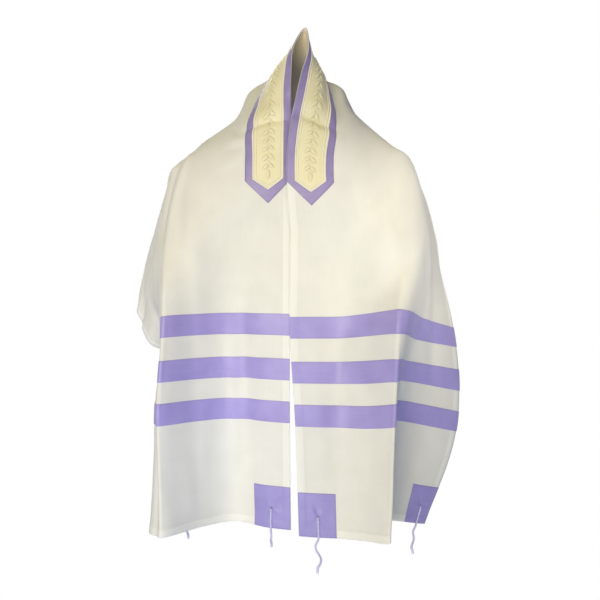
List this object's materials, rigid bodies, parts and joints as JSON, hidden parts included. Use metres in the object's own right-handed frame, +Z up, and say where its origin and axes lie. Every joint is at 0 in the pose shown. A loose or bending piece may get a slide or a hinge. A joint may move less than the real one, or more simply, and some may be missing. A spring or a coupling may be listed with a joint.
{
  "type": "tallit prayer shawl",
  "caption": "White tallit prayer shawl worn over the shoulders, neckband standing up as a hood, open in front, with purple ribbons, corner patches and corner tassels.",
  "frame": {"origin": "base of the neck, where the wearer's neck and shoulders carry the shawl", "axes": "+X to the right seen from the front, +Y from the open front to the back, +Z up"},
  "size_m": [0.7056, 0.347, 1.1234],
  "materials": {
    "cloth": "off-white fine twill, matt",
    "ribbon": "purple satin with a soft sheen",
    "panel": "cream satin with tone-on-tone embroidery",
    "thread": "pale twisted wool thread"
  },
  "bodies": {
    "root": {"shawl_cloth": "cloth", "neckband_ribbon": "ribbon", "neckband_panel": "panel", "stripe_left_1": "ribbon", "stripe_left_2": "ribbon", "stripe_left_3": "ribbon", "stripe_right_1": "ribbon", "stripe_right_2": "ribbon", "stripe_right_3": "ribbon", "corner_patch_left_front": "ribbon", "corner_patch_left_back": "ribbon", "corner_patch_right_front": "ribbon", "corner_patch_right_side": "ribbon", "tassel_left_front": "thread", "tassel_left_back": "thread", "tassel_right_front": "thread", "tassel_right_side": "thread"}
  },
  "joints": []
}
